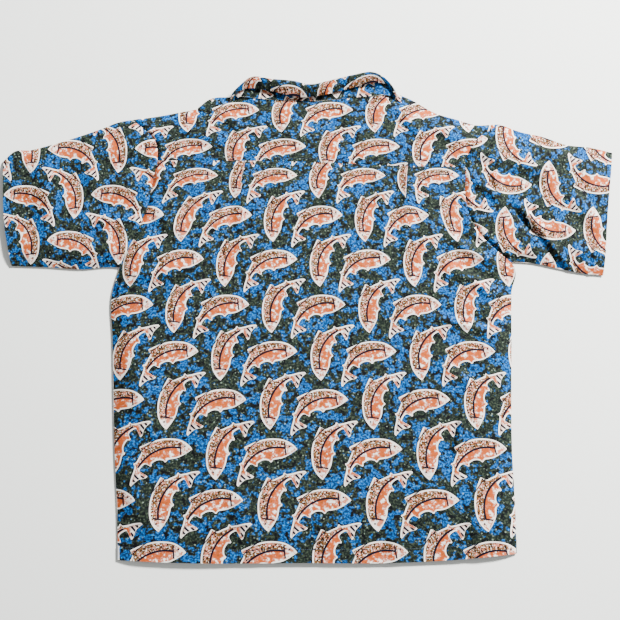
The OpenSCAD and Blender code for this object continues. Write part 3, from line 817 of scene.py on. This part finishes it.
def front_piece(side):
    def plan(u, v):
        return front_plan(side, u if side == "left" else 1 - u, v)

    def place(u, v):
        x, y = plan(u, v)
        return x, y, front_height(x, y, FRONT_LIFTS[side])

    def printed(u, v):
        x, y = plan(u, v)
        return -x / FRONT_PRINT + 30, y / FRONT_PRINT + 12

    return cloth_grid(f"{side}_front_cloth", 78, 120, place, printed)


for side in ("left", "right"):
    front = thicken(front_piece(side), COTTON)
    sew_in(front, "torso", [f"{side}_front"])

# ---- Facings, lapels and hems ----
# Doubled edges of the same cotton: a facing behind each front edge, the lapels it forms where it
# turns out above the top button, and the lower edge of every panel, turned in as a hem.
FACING = 45.0
HEM_DEEP = 22.0


def strip(name, across, up, place, body, nodes, wall=0.4, outside=None):
    """A plain strip or flap of cloth given by its points."""
    def printed(u, v):
        x, y, _ = place(u, v)
        return x / FRONT_PRINT, y / FRONT_PRINT

    piece = cloth_grid(name, across, up, place, printed)
    thicken(piece, wall, outside, outside)
    sew_in(piece, body, nodes)
    return piece


for side, sign in (("left", -1), ("right", 1)):
    lift = FRONT_LIFTS[side]

    def facing_place(u, v):
        x = -sign * (LAP - 0.5) + sign * (LAP + FACING - 0.5) * (u if sign > 0 else 1 - u)
        low_y = soft_curve(HEM_LINE, x) + 0.8
        high_y = np.minimum(soft_curve(FRONT_TOPS[side], x) - 1, 250)
        y = low_y + (high_y - low_y) * v
        return x, y, front_height(x, y, lift) + COTTON + 0.42

    def lapel_place(u, v):
        v = v if sign > 0 else 1 - v
        fold_x, fold_y = -15 + 90.4 * u, 214 + 88 * u
        tip_x, tip_y = -13 + 106 * u, 213 + 25.6 * u
        bulge = 5 * np.sin(math.pi * u) * v
        x = fold_x * (1 - v) + tip_x * v + bulge * 0.6
        y = fold_y * (1 - v) + tip_y * v - bulge
        lifted = np.maximum(0.4, lift * step_up(np.abs(x), 40, 12) * step_up(y, 232, 214) * 0.6)
        return sign * x, y, lifted + 0.9 * step_up(v, 0.12, 0.0)

    def hem_place(u, v):
        x, y = front_plan(side, u, v * 0)
        y = y + 0.8 + (HEM_DEEP - 0.8) * v
        return x, y, front_height(x, y, lift) + COTTON + 0.40

    strip(f"{side}_front_facing_cloth", 14, 110, facing_place, "torso", [f"{side}_front_facing"])
    strip(f"{side}_lapel_cloth", 30, 20, lapel_place, "torso", [], 0.9)
    strip(f"{side}_front_hem_turn", 70, 6, hem_place, "torso", [f"{side}_front_hem"])


def back_hem_place(u, v):
    x, y = back_plan(u, v * 0)
    y = y + 0.8 + (HEM_DEEP - 0.8) * v
    side_gap = np.clip(far_from(x, y, side_paths) / 8, 0, 1)
    return x, y, upper_layer(x, y) - 0.5 * side_gap - 0.05


strip("back_hem_turn", 150, 6, back_hem_place, "torso", ["back_hem"])

# ---- Seam allowances ----
# Narrow double edges left inside where the panels are joined, overlocked together and pressed flat.
SEAM_WIDE = 9.0


def seam_strip(name, path, inward, body, node):
    """A narrow strip just inside a joined edge, halfway between the two layers."""
    gone = np.concatenate([[0], np.cumsum(np.hypot(*np.diff(path, axis=0).T))])

    def place(u, v):
        at = gone[-1] * (0.03 + 0.89 * u)
        x, y = np.interp(at, gone, path[:, 0]), np.interp(at, gone, path[:, 1])
        dx = np.interp(at + 2, gone, path[:, 0]) - np.interp(at - 2, gone, path[:, 0])
        dy = np.interp(at + 2, gone, path[:, 1]) - np.interp(at - 2, gone, path[:, 1])
        size = np.hypot(dx, dy)
        across = 3.2 + SEAM_WIDE * (v if inward > 0 else 1 - v)
        x, y = x - inward * dy / size * across, y + inward * dx / size * across
        return x, y, np.minimum(2.6 + 0.10 * across, back_height(x, y) - 1.2)

    return strip(name, 60, 3, place, body, [node] if node else [], 0.5, printed_inside)


left_armhole = soft_path([p for p in LEFT_EDGE if p[0] > 79], True)
right_armhole = soft_path([p for p in RIGHT_EDGE if p[0] > 85], True)
seam_strip("left_side_seam_edge", side_paths[0], -1, "torso", "left_side_seam")
seam_strip("right_side_seam_edge", side_paths[1], 1, "torso", "right_side_seam")
seam_strip("left_armhole_seam_edge", left_armhole, -1, "torso", "left_armhole_seam")
seam_strip("right_armhole_seam_edge", right_armhole, 1, "torso", "right_armhole_seam")
for side, path in (("left", sleeve_paths[2]), ("right", sleeve_paths[3])):
    underarm = seam_strip(f"{side}_underarm_seam_edge", path, 1, None, f"{side}_underarm_seam")
    bend_with_sleeve(underarm)

# ---- Chest pocket ----
# One patch of cotton on the outside of the left front, its edges turned under and its mouth hemmed.


def pocket_place(u, v):
    x = POCKET_X[1] + (POCKET_X[0] - POCKET_X[1]) * u
    low_y = POCKET_Y[0] + 14 * step_up(np.abs(u - 0.5), 0.05, 0.5)
    y = low_y + (POCKET_Y[1] - low_y) * v
    return x, y, 0.12 + 0.25 * np.sin(math.pi * u) * np.sin(math.pi * v) ** 0.5


def mouth_place(u, v):
    x = POCKET_X[1] - 1 + (POCKET_X[0] - POCKET_X[1] + 2) * u
    return x, POCKET_Y[1] - 20 + 19 * v, 0.62 + 0 * u


strip("chest_pocket_cloth", 36, 40, pocket_place, "torso", ["chest_pocket"])
strip("pocket_hem_turn", 36, 5, mouth_place, "torso", ["pocket_hem"])

# ---- Yoke lining, neck tape and care label ----
# A second layer of cotton inside the yoke, a woven tape over the neck seam, and a small blank
# woven label sewn below it.


def plain(name, under, over, roughness, grain, ribs=0.0, mapped=True):
    """A one-colour stuff, mottled and ribbed; mapped ones follow the piece's own cloth map."""
    made = bpy.data.materials.new(name)
    made.use_nodes = True
    tree = made.node_tree
    shader = tree.nodes["Principled BSDF"]
    scale = tree.nodes.new("ShaderNodeVectorMath")
    scale.operation = "SCALE"
    scale.inputs["Scale"].default_value = 1000.0
    if mapped:
        where = tree.nodes.new("ShaderNodeUVMap")
        where.uv_map = "cloth"
        tree.links.new(where.outputs[0], scale.inputs[0])
    else:
        tree.links.new(tree.nodes.new("ShaderNodeTexCoord").outputs["Object"], scale.inputs[0])
    mottle = noise(tree, scale.outputs[0], grain, 3.0, 0.6)
    tree.links.new(paint(tree, under, over, mottle.rise(0.40, 0.62)), shader.inputs["Base Color"])
    height = mottle * 0.5
    if ribs:
        height = height + (split(tree, scale.outputs[0])[0] * (2 * math.pi / ribs)).do("SINE") * 0.5
    bump = tree.nodes.new("ShaderNodeBump")
    bump.inputs["Strength"].default_value = 0.3
    bump.inputs["Distance"].default_value = 0.0002
    tree.links.new(height.socket, bump.inputs["Height"])
    tree.links.new(bump.outputs[0], shader.inputs["Normal"])
    shader.inputs["Roughness"].default_value = roughness
    return made


woven_white = plain("woven_tape", ink(226, 222, 210), ink(240, 238, 230), 0.8, 0.6, 0.9)


def lining_plan(u, v):
    return yoke_plan(0.012 + 0.976 * u, 0.02 + 0.93 * v)


def lining_place(u, v):
    x, y = lining_plan(u, v)
    return x, y, upper_layer(x, y) - 0.75


def tape_place(u, v):
    x = -104 + 208 * u
    y = soft_curve(NECK_LINE, x) - 12 + 10 * v
    return x, y, upper_layer(x, y) - 1.35


def label_place(u, v):
    x, y = -24 + 48 * u, 296 + 30 * v
    return x, y, upper_layer(x, y) - 1.75


strip("yoke_lining_cloth", 90, 24, lining_place, "torso", ["yoke_lining"], 0.4,
      printed_inside)
strip("neck_tape_woven", 60, 4, tape_place, "torso", ["neck_tape"], 0.3,
      woven_white)
strip("care_label_woven", 14, 10, label_place, "torso", ["care_label"], 0.25,
      woven_white)

# ---- Collar ----
# A one-piece collar of two cotton layers with interfacing between. Its stand rises from the neck
# seam, rolls over, and the leaf arches back; both ends turn down round the neck to lie flat.
# Each station along it: place along, base of stand, roll, fullness of the arch, free edge.
COLLAR = (
    (-1.00, (-74, 300, 2.4), (-78, 304, 1.3), (-108, 300, 0.7), (-146, 271, 0.9)),
    (-0.84, (-104, 325, 3.2), (-108, 330, 2.0), (-134, 332, 0.9), (-150, 320, 1.2)),
    (-0.77, (-112, 332, 5.5), (-118, 338, 4.0), (-131, 338, 9.0), (-129, 334, 8.0)),
    (-0.70, (-116, 339, 9.0), (-120, 346, 9.0), (-128, 348, 16.0), (-123, 342, 13.0)),
    (-0.61, (-110, 342, 11.5), (-109, 357, 13.5), (-114, 363, 26.0), (-111, 350, 16.5)),
    (-0.50, (-94, 340, 12.0), (-94, 368, 14.0), (-95, 377, 35.0), (-97, 354, 18.0)),
    (-0.35, (-62, 337, 11.6), (-62, 365, 14.0), (-62, 374, 36.0), (-63, 349, 18.0)),
    (-0.18, (-31, 336, 11.6), (-32, 363, 14.0), (-32, 372, 36.0), (-30, 341, 18.0)),
    (0.00, (-2, 335, 11.6), (-2, 357, 13.6), (-2, 366, 36.0), (-1, 341, 18.0)),
    (0.14, (24, 337, 11.6), (24, 363, 14.0), (24, 371, 36.0), (24, 345, 18.0)),
    (0.32, (59, 340, 11.6), (60, 371, 14.0), (60, 380, 36.0), (58, 354, 18.0)),
    (0.48, (92, 343, 12.0), (92, 375, 14.0), (93, 384, 35.0), (94, 362, 18.0)),
    (0.59, (108, 345, 11.5), (109, 366, 13.5), (113, 373, 27.0), (112, 360, 16.5)),
    (0.69, (117, 342, 9.0), (122, 353, 10.0), (130, 351, 16.0), (125, 347, 13.0)),
    (0.77, (115, 336, 5.5), (121, 342, 5.0), (133, 340, 10.0), (131, 337, 9.0)),
    (0.84, (104, 326, 3.2), (110, 333, 2.2), (136, 334, 0.9), (151, 322, 1.2)),
    (1.00, (74, 300, 2.4), (78, 304, 1.3), (108, 300, 0.7), (146, 271, 0.9)),
)
COLLAR_LONG = 232.0   # the leaf from its middle to one end
COLLAR_PRINT = 0.93


def collar_line(column, along):
    """One of the collar's lengthwise lines, as three coordinates."""
    stations = [(row[0], row[column]) for row in COLLAR]
    return np.stack([soft_curve([(at, point[axis]) for at, point in stations], along) for axis in range(3)])


def leaf_place(u, v):
    along, arch = 2 * u - 1, 1 - v
    roll, full, edge = (collar_line(column, along) for column in (2, 3, 4))
    point = (1 - arch) ** 2 * roll + 2 * arch * (1 - arch) * full + arch ** 2 * edge
    ripple = 0.7 * arch * np.sin(along * 17) * step_up(0.6 - np.abs(along), 0, 0.1)
    return point[0], point[1], np.maximum(point[2] + ripple, 0.15)


def leaf_print(u, v):
    return (2 * u - 1) * COLLAR_LONG / COLLAR_PRINT + 12, v * 46 - 52


collar_leaf = cloth_grid("collar_leaf_cloth", 200, 22, leaf_place, leaf_print)
thicken(collar_leaf, 1.0, printed_cotton, printed_cotton)
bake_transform(collar_leaf)
sew_in(collar_leaf, None, ["under_collar_leaf", "upper_collar_leaf", "leaf_interfacing", "left_collar_point",
                           "right_collar_point"])


def stand_place(u, v):
    along = 2 * u - 1
    base, roll = collar_line(1, along), collar_line(2, along)
    point = base * (1 - v) + roll * v
    return point[0], point[1], point[2] + 0.5 * np.sin(math.pi * v)


strip("collar_stand_cloth", 180, 10, stand_place, "torso",
      ["under_collar_stand", "upper_collar_stand", "stand_interfacing"], 0.9)

# ---- Buttons ----
# Six four-hole buttons cast in brown resin and polished, sewn to the right front with thread.
resin = plain("button_resin", ink(96, 66, 44), ink(150, 112, 78), 0.22, 0.22, mapped=False)
resin.node_tree.nodes["Principled BSDF"].inputs["Coat Weight"].default_value = 0.4
thread_blue = plain("sewing_thread", ink(48, 66, 92), ink(74, 92, 116), 0.65, 1.6, mapped=False)
for node, stuff in (("buttons", resin), ("button_threads", thread_blue)):
    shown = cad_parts[node]
    shown.data.materials.clear()
    shown.data.materials.append(stuff)

# ---- Topstitching ----
# Lines of lockstitch in blue thread along the yoke seam, the back's lower hem and the upper side of
# both sleeve hems, down the left front's edge and its facing, and round the pocket and its mouth.
STITCH_PITCH = 3.2
STITCH_LONG = 2.3


def stitch_run(name, node, lines, sleeve_side=None):
    """Lockstitches along these lines, in millimetres; those on a sleeve's side are tied to no body, the rest
    move with the torso.
    """
    bpy.ops.object.select_all(action="DESELECT")
    bpy.ops.mesh.primitive_cylinder_add(vertices=5, radius=0.2, depth=STITCH_LONG,
                                        end_fill_type="TRIFAN")
    stitch = bpy.context.object
    bpy.ops.object.mode_set(mode="EDIT")
    bpy.ops.mesh.select_all(action="SELECT")
    bpy.ops.mesh.subdivide(number_cuts=1)
    bpy.ops.object.mode_set(mode="OBJECT")
    one = np.array([vertex.co[:] for vertex in stitch.data.vertices])
    one[:, :2] *= (1 - 0.75 * (np.abs(one[:, 2]) / (STITCH_LONG / 2)) ** 2)[:, None]
    faces = [list(face.vertices) for face in stitch.data.polygons]
    bpy.data.objects.remove(stitch)
    points, all_faces = [], []
    for line in lines:
        gone = np.concatenate([[0], np.cumsum(np.linalg.norm(np.diff(line, axis=0), axis=1))])
        for at in np.arange(STITCH_PITCH, gone[-1] - STITCH_PITCH, STITCH_PITCH):
            centre = Vector([np.interp(at, gone, line[:, axis]) for axis in range(3)])
            ahead = Vector([np.interp(at + 1.2, gone, line[:, axis]) for axis in range(3)]) - centre
            turn = np.array(ahead.to_track_quat("Z", "Y").to_matrix())
            all_faces += [[index + len(points) * len(one) for index in face] for face in faces]
            points.append(one @ turn.T + np.array(centre))
    mesh = bpy.data.meshes.new(name)
    mesh.from_pydata((np.concatenate(points) * MM).tolist(), [], all_faces)
    run = bpy.data.objects.new(name, mesh)
    bpy.context.scene.collection.objects.link(run)
    mesh.materials.append(thread_blue)
    if sleeve_side:
        bend_with_sleeve(run)
    else:
        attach(run, "torso")
    if node:
        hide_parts(node)
    return run


yoke_x = np.linspace(-236, 232, 400)
yoke_y = soft_curve(YOKE_LINE, yoke_x) + 4.5
hem_x = np.linspace(-299, 312, 500)
hem_y = soft_curve(HEM_LINE, hem_x) + HEM_DEEP - 1.0
yoke_run = np.stack([yoke_x, yoke_y, upper_layer(yoke_x, yoke_y) + 0.30], 1)
hem_run = np.stack([hem_x, hem_y, upper_layer(hem_x, hem_y) - 0.20], 1)
stitch_run("yoke_stitches", "yoke_topstitch", [yoke_run])
stitch_run("hem_stitches", "hem_topstitch", [hem_run])
for side, cuff, outward in (("left", LEFT_CUFF, -1), ("right", RIGHT_CUFF, 1)):
    cuff_y = np.linspace(cuff[0][0] + 3, cuff[-1][0] + 2, 200)
    cuff_x = soft_curve(cuff, cuff_y) - outward * (SLEEVE_TURN - 1.5)
    cuff_run = np.stack([cuff_x, cuff_y, upper_layer(cuff_x, cuff_y) + 0.05], 1)
    stitch_run(f"{side}_sleeve_stitches", f"{side}_sleeve_topstitch", [cuff_run], side)

edge_y = np.linspace(-368, 200, 300)
edge_lines = []
for edge_x in (LAP - 3.0, -LAP - 1.0):
    line_x = np.full(edge_y.shape, edge_x)
    line_z = front_height(line_x, edge_y, FRONT_LIFTS["left"]) - 0.05
    edge_lines.append(np.stack([line_x, edge_y, line_z], 1))
stitch_run("front_edge_stitches", None, edge_lines)
pocket_turn = np.array([
    (POCKET_X[0] + 2, POCKET_Y[1] - 1),
    (POCKET_X[0] + 2, POCKET_Y[0] + 13),
    ((POCKET_X[0] + POCKET_X[1]) / 2, POCKET_Y[0] + 2),
    (POCKET_X[1] - 2, POCKET_Y[0] + 13),
    (POCKET_X[1] - 2, POCKET_Y[1] - 1),
])
pocket_lines = [np.column_stack([pocket_turn, np.full(5, 0.12)])]
mouth_x = np.linspace(POCKET_X[0] + 3, POCKET_X[1] - 3, 20)
pocket_lines.append(np.stack([mouth_x, np.full(20, POCKET_Y[1] - 20.0), np.full(20, 0.16)], 1))
stitch_run("pocket_stitches", None, pocket_lines)
